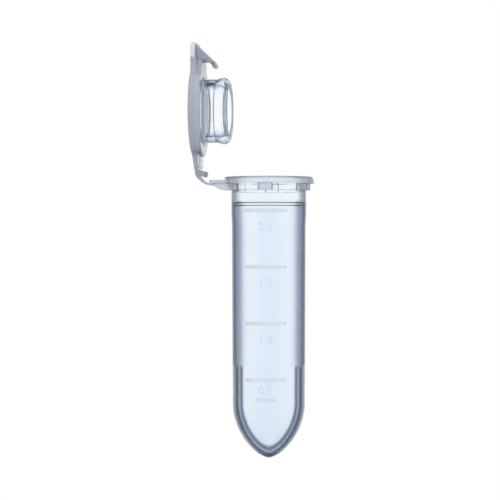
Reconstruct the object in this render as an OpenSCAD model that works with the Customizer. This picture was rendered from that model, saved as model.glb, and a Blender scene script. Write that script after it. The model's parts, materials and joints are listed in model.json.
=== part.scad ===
// Microcentrifuge tube, 2 ml class, round bottomed, with a hinged snap lid.
// Units are millimetres. The origin is on the tube axis, in the plane of the
// underside of the support ribs, where the tube hangs in a rack or rotor.
// +Z points up out of the mouth, the hinge is on the -X side and the latch on
// the +X side. The lid is drawn closed, and open_lid() turns it to its rest
// pose, standing open at a right angle.

/* [Tube neck] */
// Outer radius of the neck below the ribs, which the rack hole takes
neck_r = 5.38; // [4.4:0.02:6.6]
// Wall of the neck around the sealing bore
neck_wall = 0.55; // [0.44:0.01:0.7]
// Depth of the sealing bore below the shoulder
bore_depth = 1.9; // [1.5:0.1:4]
// Thickening of the neck above the shoulder
root_step = 0.22; // [0.18:0.02:0.3]
// Length of the flared mouth
mouth_flare_len = 0.9; // [0.4:0.1:1.2]
// How much the mouth flares beyond the bore
mouth_flare = 0.22; // [0.1:0.02:0.3]
// Height of the seat ring that ends the bore
seat_h = 0.5; // [0.3:0.1:1]
// Chamfer at the top inside of the seat ring
seat_chamfer = 0.12; // [0.05:0.01:0.2]

/* [Rim and ribs] */
// Width of the rim flange beyond the neck root
flange_w = 0.73; // [0.6:0.05:1.2]
// Thickness of the rim flange
flange_t = 0.96; // [0.8:0.04:1.4]
// Chamfer on the top edge of the rim flange
flange_chamfer = 0.12; // [0.05:0.01:0.3]
// Number of support ribs on each side, from the hinge round to the latch
side_ribs = 3; // [2:1:4]
// Height of the support ribs
rib_h = 0.98; // [0.8:0.02:1.4]
// Width of each support rib
rib_w = 2.16; // [1.2:0.04:2.8]
// How far each rib stops short of the flange edge
rib_setback = 0.28; // [0.2:0.02:0.5]
// How far the locking lip stands out past the flange
lip_reach = 0.27; // [0.2:0.01:0.4]
// Width of the locking lip, across the front
lip_w = 6.0; // [4.6:0.2:7.4]
// Width of the single rib under the locking lip
lip_rib_w = 1.6; // [1:0.1:2]
// How far the rib under the lip stops short of the flange edge
lip_rib_setback = 0.35; // [0.28:0.01:0.6]

/* [Barrel] */
// Length of the barrel from the neck down to the start of the round bottom
barrel_len = 28.3; // [14:0.1:36]
// Length of the full-width band at the top of the barrel
band_len = 1.0; // [0.5:0.1:2]
// Length of the taper below that band
band_taper_len = 1.4; // [0.5:0.1:3]
// How much smaller the barrel radius is than the neck radius, below the band
barrel_step = 0.08; // [0.04:0.02:0.2]
// How much the barrel radius shrinks from its top to its bottom
barrel_draft = 0.1; // [0.05:0.01:0.3]
// Wall of the barrel
barrel_wall = 0.8; // [0.6:0.05:1.1]

/* [Round bottom] */
// Height of the round bottom
bottom_h = 7.7; // [5:0.1:10]
// Wall at the very bottom
bottom_wall = 1.12; // [0.8:0.02:1.6]

/* [Graduation] */
// Distance from the end of the neck down to the top line, 2 ml
scale_top = 0.55; // [0.4:0.05:0.8]
// Height of the lowest long line, 0.5 ml, above the round bottom
scale_low = 3.66; // [3:0.02:5]
// Number of half-millilitre lines
scale_count = 4; // [2:1:6]
// Distance from the lowest long line down to the short line
scale_low_gap = 2.8; // [1.5:0.1:3.4]
// Width of each line
scale_line_w = 0.32; // [0.2:0.02:0.6]
// How far the lines stand out of the barrel
scale_line_h = 0.07; // [0.04:0.01:0.1]
// Angle that a long line covers
scale_long_angle = 69; // [40:1:90]
// Angle that the short line covers
scale_short_angle = 30; // [10:1:40]

/* [Hinge] */
// Distance from the edge of the rim flange to the hinge axis
hinge_reach = 3.1; // [2.4:0.02:4]
// Height of the hinge axis above the rim
hinge_rise = 0.09; // [0:0.01:0.4]
// Width of the hinge, across the strap
hinge_w = 5.4; // [4:0.2:6.6]
// Thickness of the bending strap
strap_t = 0.25; // [0.2:0.01:0.35]
// Reach of the strap's bend at the leaf
strap_bend_low = 0.68; // [0.5:0.02:0.84]
// Reach of the strap's bend at the lid tongue
strap_bend_high = 0.4; // [0.3:0.02:0.5]
// Thickness of the leaf on the rim
leaf_t = 0.5; // [0.4:0.05:0.6]
// Distance from the hinge axis to the free end of the leaf
leaf_gap = 1.08; // [0.8:0.02:1.6]
// Clearance between the gusset under the leaf and the rib on either side of it
gusset_gap = 0.21; // [0.1:0.01:0.4]
// Distance that the gusset runs out along the shoulder plane
gusset_foot = 1.0; // [0.5:0.1:1.5]
// Distance from the hinge axis to the strap end of the lid tongue
tongue_gap = 0.32; // [0.2:0.02:0.6]
// Distance from the hinge axis to the tongue's inner face
tongue_drop = 0.52; // [0.42:0.02:0.64]
// Thickness of the tongue at its strap end
tongue_t = 0.4; // [0.3:0.01:0.6]
// How far the tongue's outer face lies below the lid's top, where they meet
tongue_set = 0.13; // [0.05:0.01:0.3]
// Width of each rail along the tongue
rail_w = 0.5; // [0.3:0.05:0.8]
// Height of each rail
rail_h = 0.23; // [0.1:0.01:0.3]
// Gap between the rails' strap ends and the tongue's end
rail_gap = 0.9; // [0.7:0.05:1.2]
// Width of each lug at the strap end of the tongue
lug_w = 0.6; // [0.3:0.05:0.8]
// Height of each lug
lug_h = 0.85; // [0.6:0.05:1.1]
// How far each lug leans out past the tongue's end
lug_lean = 0.43; // [0.2:0.01:0.54]
// How far each lug runs in from the tongue's end
lug_len = 0.51; // [0.3:0.01:0.7]

/* [Lid] */
// Overhang of the lid disc past the rim flange
lid_overhang = 0.22; // [0:0.02:0.4]
// Thickness of the lid plate
plate_t = 0.88; // [0.7:0.02:1.2]
// Rounding of the lid plate's outer edge
plate_round = 0.25; // [0.1:0.05:0.4]
// Height of the collar under the plate
collar_h = 0.74; // [0.5:0.02:1]
// Clearance between the closed collar and the rim
seat_gap = 0.02; // [0.01:0.01:0.05]

/* [Plug] */
// Clearance between the plug sleeve and the bore
sleeve_gap = 0.26; // [0.2:0.01:0.4]
// Wall of the plug at its root
sleeve_wall = 0.77; // [0.6:0.01:0.95]
// Length of the straight part of the sleeve below the collar
sleeve_straight = 1.76; // [1.2:0.02:2.2]
// Clearance between the plug's free end and the seat ring
plug_end_gap = 0.15; // [0.1:0.01:0.5]
// How much the rigid core narrows towards its free end
core_taper = 0.32; // [0.26:0.01:0.4]
// Chamfer at the core's free end
core_chamfer = 0.15; // [0.05:0.01:0.2]
// Clearance between the seal bead's crest and the bore
bead_gap = 0.03; // [0.02:0.01:0.08]
// Length of the core that shows below the bead
bead_end_gap = 0.1; // [0.05:0.01:0.2]
// Share of the bead's length at which its crest lies
bead_crest = 0.56; // [0.4:0.01:0.7]
// How far the bead's lower edge stands out of the core
bead_edge = 0.15; // [0.05:0.01:0.2]

/* [Tab and latch] */
// Width of the thumb tab
tab_w = 6.6; // [5:0.2:8]
// Thickness of the thumb tab
tab_t = 0.7; // [0.5:0.05:0.9]
// Length of the tab past the latch web
tab_len = 2.15; // [1.7:0.05:3]
// Corner radius of the tab seen from above
tab_corner = 1.2; // [0.5:0.1:1.8]
// Clearance between the locking lip and the latch web
web_gap = 0.59; // [0.48:0.01:0.9]
// Thickness of the latch web
web_t = 0.4; // [0.3:0.02:0.6]
// How far the latch stops short of the tab on each side
latch_side = 0.3; // [0:0.05:0.6]
// Thickness of the slanted latch wall
latch_t = 0.45; // [0.35:0.05:0.6]
// Distance from the tab's tip to the slanted wall
latch_inset = 0.42; // [0.3:0.02:0.6]
// Thickness of each cheek of the latch
cheek_t = 0.4; // [0.3:0.05:0.6]
// Width of the barb
barb_w = 3.8; // [2:0.1:5]
// Clearance between the barb and the underside of the lip when closed
barb_drop = 0.46; // [0.3:0.02:0.6]
// How far the barb reaches in under the lip
barb_reach = 0.45; // [0.3:0.01:0.55]
// Thickness of the barb from its catching face to its underside
barb_t = 0.44; // [0.3:0.02:0.56]
// Distance from the barb's tip to the lower corner of the slanted wall
barb_len = 0.74; // [0.6:0.02:0.92]
// Height of that corner above the barb's underside
barb_nose = 0.3; // [0.2:0.02:0.4]
// Height of the barb's blunt tip
barb_edge = 0.14; // [0.1:0.01:0.2]
// Chamfer at either end of the barb's underside
barb_chamfer = 0.24; // [0.1:0.02:0.3]
// Distance from the slanted wall to the barb's catching face
barb_throat = 0.15; // [0.05:0.01:0.2]

/* [Hidden] */

$fn = 96;
big = 40;

// Heights of the tube, from the shoulder plane
rim_top = rib_h + flange_t;
neck_end = -bore_depth - seat_h;
band_end = neck_end - band_len;
taper_end = band_end - band_taper_len;
barrel_end = neck_end - barrel_len;

// Radii of the tube
bore_r = neck_r - neck_wall;
mouth_r = bore_r + mouth_flare;
root_r = neck_r + root_step;
flange_r = root_r + flange_w;
lip_r = flange_r + lip_reach;
rib_r = flange_r - rib_setback;
lip_rib_r = flange_r - lip_rib_setback;
barrel_top_r = neck_r - barrel_step;
barrel_low_r = barrel_top_r - barrel_draft;
cavity_top_r = barrel_top_r - barrel_wall;
cavity_low_r = barrel_low_r - barrel_wall;

// Ribs stand at odd multiples of this angle from the latch side, and the gusset fills the
// gap between the two that flank the hinge
rib_angle = 90 / side_ribs;
gusset_w = 2 * (sqrt(pow(root_r, 2) - pow(rib_w / 2, 2)) * sin(rib_angle)
    - rib_w / 2 * cos(rib_angle) - gusset_gap);

// Graduation lines, evenly spaced from the 2 ml line down to the 0.5 ml line
scale_first = neck_end - scale_top;
scale_last = barrel_end + scale_low;
scale_pitch = (scale_first - scale_last) / (scale_count - 1);

// Shape of the round bottom: radius = r * (1 - t^flat)^point for t from 0 to 1
bottom_flat = 1.85;
bottom_point = 0.65;
bottom_steps = 16;

// Hinge
pivot_x = -flange_r - hinge_reach;
pivot_z = rim_top + hinge_rise;
leaf_end = pivot_x + leaf_gap;
strap_steps = 14;

// Closed lid
lid_r = flange_r + lid_overhang;
seat_z = rim_top + seat_gap;
plate_z = seat_z + collar_h;
lid_top = plate_z + plate_t;
sleeve_r = bore_r - sleeve_gap;
hollow_r = sleeve_r - sleeve_wall;
straight_end = seat_z - sleeve_straight;
plug_end = -bore_depth + plug_end_gap;
bead_end = plug_end + bead_end_gap;
core_end_r = sleeve_r - core_taper;
bead_r = bore_r - bead_gap;
bead_steps = 12;
tongue_inner = pivot_z + tongue_drop;
tongue_end = pivot_x + tongue_gap;

// Closed tab and latch
web_x = lip_r + web_gap;
tab_x = web_x + web_t;
tab_end = tab_x + tab_len;
tab_bottom = lid_top - tab_t;
latch_w = tab_w - 2 * latch_side;
barb_top = rib_h - barb_drop;
barb_bottom = barb_top - barb_t;
barb_tip = lip_r - barb_reach;

// Radius of the barrel's outside at height z: the band, its taper, then the draft
function barrel_r(z) =
    z > band_end ? neck_r
    : z > taper_end ? barrel_top_r + barrel_step * (z - taper_end) / band_taper_len
    : barrel_top_r - barrel_draft * (taper_end - z) / (taper_end - barrel_end);

// Point t along a cubic curve between a and d, with handles b and c
function curve(a, b, c, d, t) =
    a * pow(1 - t, 3) + 3 * b * t * pow(1 - t, 2) + 3 * c * pow(t, 2) * (1 - t) + d * pow(t, 3);

// Direction of that curve at t
function curve_way(a, b, c, d, t) =
    (b - a) * pow(1 - t, 2) + 2 * (c - b) * t * (1 - t) + (d - c) * pow(t, 2);

// Half-profile of a round bottom of radius r and height h, from its top to its tip
function round_profile(r, h) =
    [for (i = [0:bottom_steps])
        let (t = sin(90 * i / bottom_steps))
        [r * pow(max(0, 1 - pow(t, bottom_flat)), bottom_point), barrel_end - h * t]];

// Turn the closed lid about the hinge axis to its open rest pose
module open_lid() {
    translate([pivot_x, 0, pivot_z])
        rotate([0, -90, 0])
            translate([-pivot_x, 0, -pivot_z])
                children();
}

// A profile drawn in X and Z, made width wide across Y
module across(width) {
    translate([0, width / 2, 0])
        rotate([90, 0, 0])
            linear_extrude(width)
                children();
}

// A pair of such profiles, one on each side of the middle plane, centred at y
module pair_across(width, y) {
    for (side = [-1, 1])
        translate([0, side * y, 0])
            across(width) children();
}

// A sector of ring between two radii at angle a, width wide, between two heights
module ring_block(inner, outer, a, width, low, high) {
    intersection() {
        difference() {
            translate([0, 0, low]) cylinder(r = outer, h = high - low);
            translate([0, 0, low - 1]) cylinder(r = inner, h = high - low + 2);
        }
        rotate(a) translate([0, -width / 2, low]) cube([big, width, high - low]);
    }
}

// Neck with the sealing bore and its flared mouth
module tube_neck() {
    color([0.87, 0.92, 0.96])
        rotate_extrude()
            polygon([[bore_r, -bore_depth], [neck_r, -bore_depth], [neck_r, 0], [root_r, 0],
                     [root_r, rim_top], [mouth_r, rim_top],
                     [bore_r, rim_top - mouth_flare_len]]);
}

// Ring of wall at the bottom of the bore, which steps in to the cavity
module seat_ring() {
    color([0.64, 0.69, 0.75])
        rotate_extrude()
            polygon([[cavity_top_r, neck_end], [neck_r, neck_end], [neck_r, -bore_depth],
                     [cavity_top_r + seat_chamfer, -bore_depth],
                     [cavity_top_r, -bore_depth - seat_chamfer]]);
}

// Straight-walled barrel
module tube_barrel() {
    color([0.86, 0.91, 0.95])
        rotate_extrude()
            polygon([[cavity_low_r, barrel_end], [barrel_low_r, barrel_end],
                     [barrel_top_r, taper_end], [neck_r, band_end], [neck_r, neck_end],
                     [cavity_top_r, neck_end]]);
}

// Closed round bottom
module tube_bottom() {
    color([0.82, 0.88, 0.94])
        rotate_extrude()
            polygon(concat(round_profile(barrel_low_r, bottom_h),
                           [for (i = [bottom_steps:-1:0])
                               round_profile(cavity_low_r, bottom_h - bottom_wall)[i]]));
}

// Flange around the mouth
module rim_flange() {
    color([0.72, 0.73, 0.79])
        rotate_extrude()
            polygon([[root_r, rib_h], [flange_r, rib_h], [flange_r, rim_top - flange_chamfer],
                     [flange_r - flange_chamfer, rim_top], [root_r, rim_top]]);
}

// Sloping lip at the front of the flange, which the barb snaps over
module locking_lip() {
    color([0.7, 0.71, 0.77])
        intersection() {
            rotate_extrude()
                polygon([[flange_r, rib_h], [lip_r, rib_h],
                         [flange_r, rim_top - flange_chamfer]]);
            translate([0, -lip_w / 2, 0]) cube([big, lip_w, big]);
        }
}

// Ribs under the flange, whose undersides are the rack shoulder
module support_ribs() {
    color([0.7, 0.72, 0.77])
        for (side = [-1, 1])
            for (i = [0:side_ribs - 1])
                ring_block(root_r, rib_r, side * (2 * i + 1) * rib_angle, rib_w, 0, rib_h);
}

// Narrow rib under the locking lip, clear of the barb
module lip_rib() {
    color([0.7, 0.72, 0.77])
        ring_block(root_r, lip_rib_r, 0, lip_rib_w, 0, rib_h);
}

// Flat leaf that carries the strap out from the flange
module hinge_leaf() {
    color([0.76, 0.79, 0.84])
        difference() {
            across(hinge_w)
                polygon([[leaf_end, rib_h - strap_t], [leaf_end + strap_t, rib_h - strap_t],
                         [leaf_end + 2 * strap_t, rib_h], [0, rib_h], [0, rib_h + leaf_t],
                         [leaf_end, rib_h + leaf_t]]);
            cylinder(r = flange_r, h = big, center = true);
        }
}

// Gusset between the leaf and the neck
module hinge_gusset() {
    color([0.85, 0.89, 0.94])
        difference() {
            across(gusset_w)
                polygon([[leaf_end + strap_t, rib_h - strap_t],
                         [leaf_end + 2 * strap_t, rib_h], [0, rib_h], [0, 0],
                         [-root_r - gusset_foot, 0]]);
            cylinder(r = root_r, h = big, center = true);
        }
}

// Raised graduation lines, centred on the -Y side
module graduation_lines() {
    color([0.7, 0.74, 0.8]) {
        for (i = [0:scale_count - 1])
            graduation_line(scale_first - i * scale_pitch, scale_long_angle);
        graduation_line(scale_last - scale_low_gap, scale_short_angle);
    }
}

// One line at height z, covering an angle about the -Y side
module graduation_line(z, angle) {
    low = z - scale_line_w / 2;
    high = z + scale_line_w / 2;
    heights = concat([low],
                     [for (knee = [taper_end, band_end]) if (knee > low && knee < high) knee],
                     [high]);
    rotate(-90 - angle / 2)
        rotate_extrude(angle = angle)
            polygon(concat([for (h = heights) [barrel_r(h) + scale_line_h, h]],
                           [for (i = [len(heights) - 1:-1:0])
                               [barrel_r(heights[i]), heights[i]]]));
}

// Thin living hinge, bent as it is with the lid open
module hinge_strap() {
    a = [leaf_end, rib_h - strap_t / 2];
    b = a - [strap_bend_low, 0];
    d = [pivot_x - tongue_drop - tongue_t + strap_t / 2, pivot_z + tongue_gap];
    c = d - [0, strap_bend_high];
    sides = [for (i = [0:strap_steps])
        let (t = i / strap_steps,
             way = curve_way(a, b, c, d, t),
             normal = [-way[1], way[0]] * strap_t / 2 / norm(way))
        [curve(a, b, c, d, t) + normal, curve(a, b, c, d, t) - normal]];
    color([0.66, 0.7, 0.76])
        across(hinge_w)
            polygon(concat([for (s = sides) s[0]],
                           [for (i = [strap_steps:-1:0]) sides[i][1]]));
}

// Frosted lid plate, a disc that runs out to the tab
module lid_plate() {
    color([0.66, 0.69, 0.74])
        open_lid() {
            rotate_extrude()
                polygon([[0, plate_z], [lid_r, plate_z], [lid_r, lid_top - plate_round],
                         [lid_r - plate_round, lid_top], [0, lid_top]]);
            translate([0, -tab_w / 2, plate_z]) cube([tab_x, tab_w, plate_t]);
        }
}

// Collar under the plate, which closes down onto the rim
module lid_collar() {
    color([0.84, 0.87, 0.93])
        open_lid()
            difference() {
                union() {
                    translate([0, 0, seat_z]) cylinder(r = lid_r, h = collar_h);
                    translate([0, -latch_w / 2, seat_z]) cube([web_x, latch_w, collar_h]);
                }
                translate([0, 0, seat_z - 1]) cylinder(r = sleeve_r, h = collar_h + 2);
            }
}

// Hollow rigid plug, straight at its root and tapered to its free end
module plug_sleeve() {
    color([0.88, 0.93, 0.97])
        open_lid()
            rotate_extrude()
                polygon([[hollow_r, plate_z], [sleeve_r, plate_z], [sleeve_r, straight_end],
                         [core_end_r, plug_end + core_chamfer],
                         [core_end_r - core_chamfer, plug_end], [hollow_r, plug_end]]);
}

// Radius of the tapered core at height z
function core_r(z) =
    sleeve_r - core_taper * (straight_end - z) / (straight_end - plug_end - core_chamfer);

// Height of the seal bead's outside at t, from its top edge to its lower edge
function bead_z(t) = straight_end + (bead_end - straight_end) * t;

// Radius of the seal bead's outside at t: a quarter wave up to the crest, another down
function bead_out(t) = t < bead_crest
    ? sleeve_r + (bead_r - sleeve_r) * sin(90 * t / bead_crest)
    : bead_low_r + (bead_r - bead_low_r) * cos(90 * (t - bead_crest) / (1 - bead_crest));

bead_low_r = core_r(bead_end) + bead_edge;

// Elastic bead around the core, which presses on the bore
module seal_bead() {
    color([0.86, 0.9, 0.95])
        open_lid()
            rotate_extrude()
                polygon(concat([for (i = [0:bead_steps])
                                   let (t = i / bead_steps) [bead_out(t), bead_z(t)]],
                               [[core_r(bead_end), bead_end]]));
}

// Tongue from the lid plate to the strap
module hinge_tongue() {
    color([0.68, 0.71, 0.77])
        open_lid()
            difference() {
                across(hinge_w)
                    polygon([[tongue_end, tongue_inner], [0, tongue_inner],
                             [0, lid_top - tongue_set], [-lid_r, lid_top - tongue_set],
                             [tongue_end, tongue_inner + tongue_t]]);
                cylinder(r = lid_r, h = big);
            }
}

// Two thin rails along the inner face of the tongue
module hinge_rails() {
    color([0.8, 0.83, 0.88])
        open_lid()
            difference() {
                pair_across(rail_w, (hinge_w - rail_w) / 2)
                    polygon([[tongue_end + rail_gap, tongue_inner - rail_h],
                             [0, tongue_inner - rail_h], [0, tongue_inner],
                             [tongue_end + rail_gap, tongue_inner]]);
                cylinder(r = lid_r, h = big);
            }
}

// Two lugs at the tongue's strap end, which keep the fold from being crushed
module hinge_lugs() {
    color([0.62, 0.66, 0.72])
        open_lid()
            pair_across(lug_w, (hinge_w - lug_w) / 2)
                polygon([[tongue_end, tongue_inner],
                         [tongue_end - lug_lean, tongue_inner - lug_lean],
                         [tongue_end - lug_lean / 2, tongue_inner - lug_h],
                         [tongue_end + lug_lean, tongue_inner - lug_h],
                         [tongue_end + lug_len, tongue_inner]]);
}

// Clear thumb tab at the front of the lid
module thumb_tab() {
    color([0.8, 0.83, 0.9])
        open_lid()
            translate([0, 0, tab_bottom])
                linear_extrude(tab_t)
                    intersection() {
                        translate([tab_x, -tab_w / 2]) square([tab_len, tab_w]);
                        union() {
                            translate([0, -tab_w / 2]) square([tab_end - tab_corner, tab_w]);
                            translate([0, -tab_w / 2 + tab_corner])
                                square([tab_end, tab_w - 2 * tab_corner]);
                            for (side = [-1, 1])
                                translate([tab_end - tab_corner,
                                           side * (tab_w / 2 - tab_corner)])
                                    circle(r = tab_corner);
                        }
                    }
}

// Top of the slanted wall's outer face, the corner at its lower end, and its slope
wall_top = [tab_end - latch_inset, tab_bottom];
wall_low = [barb_tip + barb_len, barb_bottom + barb_nose];
slant = atan2(wall_top[1] - wall_low[1], wall_top[0] - wall_low[0]);
// Step from the outer face of the slanted wall to its inner face
wall_step = latch_t * [-sin(slant), cos(slant)];
// Height of the slanted wall's inner face at x
function wall_inner(x) =
    wall_low[1] + wall_step[1] + (x - wall_low[0] - wall_step[0]) * tan(slant);
// Where the slanted wall's inner face meets the tab
wall_meet = wall_low[0] + wall_step[0]
    + (tab_bottom - wall_low[1] - wall_step[1]) / tan(slant);

// Upright web of the latch, which faces the lip when closed
module latch_web() {
    color([0.6, 0.62, 0.72])
        open_lid()
            across(latch_w)
                polygon([[web_x, plate_z], [tab_x, plate_z], [tab_x, wall_inner(tab_x)],
                         [web_x, wall_inner(web_x)]]);
}

// Slanted outer wall of the latch, from the tab down to the barb
module latch_wall() {
    color([0.7, 0.73, 0.8])
        open_lid()
            across(latch_w)
                polygon([wall_top, wall_low, wall_low + wall_step, [wall_meet, tab_bottom]]);
}

// Cheeks that close the two sides of the latch
module latch_cheeks() {
    color([0.74, 0.77, 0.84])
        open_lid()
            pair_across(cheek_t, (latch_w - cheek_t) / 2)
                polygon([[tab_x, wall_inner(tab_x)], [wall_meet, tab_bottom],
                         [tab_x, tab_bottom]]);
}

// Barb that hooks in under the locking lip
module latch_barb() {
    inner = wall_low + wall_step;
    color([0.66, 0.69, 0.76])
        open_lid()
            across(barb_w)
                polygon([wall_low, inner, [inner[0] - barb_throat, barb_top],
                         [barb_tip, barb_top], [barb_tip, barb_top - barb_edge],
                         [barb_tip + barb_chamfer, barb_bottom],
                         [wall_low[0] - barb_chamfer, barb_bottom]]);
}

tube_neck();
seat_ring();
tube_barrel();
tube_bottom();
rim_flange();
locking_lip();
support_ribs();
lip_rib();
hinge_leaf();
hinge_gusset();
graduation_lines();
hinge_strap();
lid_plate();
lid_collar();
plug_sleeve();
seal_bead();
hinge_tongue();
hinge_rails();
hinge_lugs();
thumb_tab();
latch_web();
latch_wall();
latch_cheeks();
latch_barb();
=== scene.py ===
"""Microcentrifuge tube, 2 ml class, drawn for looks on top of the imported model.

The tube wall, the ribs, the living hinge and the lid are numpy surfaces in millimetres,
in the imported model's frame, and are turned into meshes in metres at the end.
"""

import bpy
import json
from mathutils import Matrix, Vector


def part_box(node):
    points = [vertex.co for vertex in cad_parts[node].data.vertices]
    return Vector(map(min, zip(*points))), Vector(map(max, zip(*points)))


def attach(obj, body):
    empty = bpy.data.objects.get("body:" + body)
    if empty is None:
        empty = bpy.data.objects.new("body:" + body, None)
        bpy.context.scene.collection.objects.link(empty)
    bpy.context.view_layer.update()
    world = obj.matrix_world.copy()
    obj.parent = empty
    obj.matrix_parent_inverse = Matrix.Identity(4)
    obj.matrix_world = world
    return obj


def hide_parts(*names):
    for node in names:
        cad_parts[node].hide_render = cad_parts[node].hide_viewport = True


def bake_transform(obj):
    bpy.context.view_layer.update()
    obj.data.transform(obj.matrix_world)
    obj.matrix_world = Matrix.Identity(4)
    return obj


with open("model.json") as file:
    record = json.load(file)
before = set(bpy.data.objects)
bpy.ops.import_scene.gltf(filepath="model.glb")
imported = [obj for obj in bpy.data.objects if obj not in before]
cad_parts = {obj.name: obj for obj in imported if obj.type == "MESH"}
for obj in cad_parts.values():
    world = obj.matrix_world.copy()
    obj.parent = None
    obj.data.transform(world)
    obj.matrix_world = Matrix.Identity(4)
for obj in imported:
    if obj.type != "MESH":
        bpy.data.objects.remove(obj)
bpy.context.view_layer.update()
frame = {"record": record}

import json
import logging
import math
from collections.abc import Sequence
from dataclasses import dataclass, replace
from enum import Enum

import bpy
import numpy as np

Array = np.ndarray
Material = bpy.types.Material
Socket = bpy.types.NodeSocket
Stops = tuple[tuple[float, int], ...]
Corners = Sequence[tuple[float, float, float]]

LOG = logging.getLogger("tube")
MM = 0.001
# Space left between pieces that would otherwise touch, in mm.
GAP = 0.004
TINY = 1e-6
WHITE = 0xFFFFFF
REFRACTIVE_INDEX = 1.49
# Angles in degrees above which an edge is shaded sharp, on flat-sided and on turned pieces.
SHARP, TURNED_SHARP = 40.0, 50.0
# Lowest value under the root in upright_view, which holds for a view from straight above.
LOWEST_SHARE = 0.06


class Body(Enum):
    """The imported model's two moving bodies."""

    TUBE = "tube"
    LID = "lid"


class Slot(Enum):
    """The record's material slots."""

    CLEAR = "clear_plastic"
    SATIN = "satin_plastic"
    FROSTED = "frosted_plastic"
    HINGE = "hinge_plastic"


class Ends(Enum):
    """How the first and last rows of a grid of points are closed."""

    WRAP = "wrap"
    POLE = "pole"
    CAP = "cap"


def corners(node: str) -> tuple[Array, Array]:
    """Lowest and highest corner of a CAD node at rest.

    Args:
        node: Name of the CAD node.

    Returns:
        Two points in millimetres.
    """
    low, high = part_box(node)
    return np.array(low) / MM, np.array(high) / MM


def linear(colour: int) -> tuple[float, float, float, float]:
    """Turns a display colour such as 0xFFEEDD into the linear light the shaders use."""
    value = np.array(list(colour.to_bytes(3, "big"))) / 255.0
    light = np.where(value <= 0.04045, value / 12.92, ((value + 0.055) / 1.055) ** 2.4)
    return (float(light[0]), float(light[1]), float(light[2]), 1.0)


@dataclass
class Shell:
    """A closed surface: points in millimetres, faces, and a material number per face."""

    points: Array
    faces: list[list[int]]
    marks: list[int]

    def volume(self) -> float:
        """Sums the signed tetrahedra under each face, which is positive for outward faces."""
        total = 0.0
        for size in {len(face) for face in self.faces}:
            group = self.points[np.array([face for face in self.faces if len(face) == size])]
            for k in range(1, size - 1):
                total += float(np.einsum("ij,ij->", group[:, 0],
                                         np.cross(group[:, k], group[:, k + 1]))) / 6.0
        return total

    def facing(self) -> "Shell":
        """Returns the shell with its faces turned outwards."""
        if self.volume() > 0:
            return self
        return Shell(self.points, [face[::-1] for face in self.faces], self.marks)

    def moved(self, turn: Array, shift: Array) -> "Shell":
        """Returns a copy with each point turned by a 3x3 matrix and then shifted."""
        return Shell(self.points @ turn.T + shift, self.faces, self.marks)


def joined(shells: list[Shell]) -> Shell:
    """Puts several shells in one, each keeping its own faces."""
    starts = np.cumsum([0] + [len(shell.points) for shell in shells])
    faces = [[index + int(start) for index in face]
             for shell, start in zip(shells, starts) for face in shell.faces]
    return Shell(np.vstack([shell.points for shell in shells]), faces,
                 [mark for shell in shells for mark in shell.marks])


def grid_shell(points: Array, ends: Ends, marks: Array | None = None) -> Shell:
    """Closes a grid of points, whose columns always run round and meet.

    Args:
        points: Array of rows by columns by 3.
        ends: How the first and last rows are closed.
        marks: Material number of each band between two rows.

    Returns:
        The closed shell, with unused points dropped.
    """
    rows, columns = points.shape[:2]
    index = np.arange(rows * columns).reshape(rows, columns)
    if ends is Ends.WRAP:
        index = np.vstack([index, index[:1]])
    index = np.hstack([index, index[:, :1]])
    marks = np.zeros(len(index) - 1, int) if marks is None else marks
    quads = np.stack([index[:-1, :-1], index[1:, :-1], index[1:, 1:], index[:-1, 1:]], -1)
    if ends is Ends.POLE:
        first = np.stack([np.full(columns, index[0, 0]), index[1, :-1], index[1, 1:]], -1)
        last = np.stack([index[-2, :-1], np.full(columns, index[-1, 0]), index[-2, 1:]], -1)
        faces = first.tolist() + quads[1:-1].reshape(-1, 4).tolist() + last.tolist()
    else:
        faces = quads.reshape(-1, 4).tolist()
    numbers = np.repeat(marks, columns).tolist()
    if ends is Ends.CAP:
        faces += [index[0, :-1].tolist(), index[-1, :-1][::-1].tolist()]
        numbers += [int(marks[0]), int(marks[-1])]
    flat = points.reshape(-1, 3)
    used = np.zeros(len(flat), bool)
    used[np.concatenate([np.ravel(face) for face in faces])] = True
    new = np.cumsum(used) - 1
    return Shell(flat[used], [new[face].tolist() for face in faces], numbers).facing()


def unit(rows: Array) -> Array:
    """Each row at length 1."""
    return rows / np.maximum(np.linalg.norm(rows, axis=1, keepdims=True), TINY)


def filleted(points: Corners, steps: int = 5, closed: bool = False) -> Array:
    """Rounds each corner of a line of (x, y, reach).

    A corner B is replaced by the quadratic Bezier curve (1-t)^2 A + 2t(1-t) B + t^2 C,
    where A and C lie at its reach along the lines to its neighbours.

    Args:
        points: Corners with their reach, which is zero for a sharp corner.
        steps: Parts of each curve.
        closed: Whether the last corner joins the first.

    Returns:
        Points of the rounded line, without repeats.
    """
    line = np.array([point[:2] for point in points], float)
    reach = np.array([point[2] for point in points], float)
    before, after = np.roll(line, 1, 0) - line, np.roll(line, -1, 0) - line
    if not closed:
        before[0], after[-1] = after[0], before[-1]
        reach[[0, -1]] = 0.0
    t = np.linspace(0.0, 1.0, steps + 1)[None, :, None]
    start = (line + unit(before) * reach[:, None])[:, None]
    end = (line + unit(after) * reach[:, None])[:, None]
    curve = (1 - t) ** 2 * start + 2 * t * (1 - t) * line[:, None] + t ** 2 * end
    flat = curve.reshape(-1, 2)
    keep = np.concatenate([[True], np.linalg.norm(np.diff(flat, axis=0), axis=1) > TINY])
    if closed and np.linalg.norm(flat[-1] - flat[0]) < TINY:
        keep[-1] = False
    return flat[keep]


def polar(r: Array, angle: Array, z: Array) -> Array:
    """Points (r cos a, r sin a, z) for arrays that spread to one shape."""
    return np.stack(np.broadcast_arrays(r * np.cos(angle), r * np.sin(angle), z), -1)


def stacked(rings: Array, level: Array) -> Array:
    """Adds a height to each ring in a stack of flat rings."""
    height = np.broadcast_to(level[:, None, None], rings.shape[:2] + (1,))
    return np.concatenate([rings, height], -1)


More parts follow.
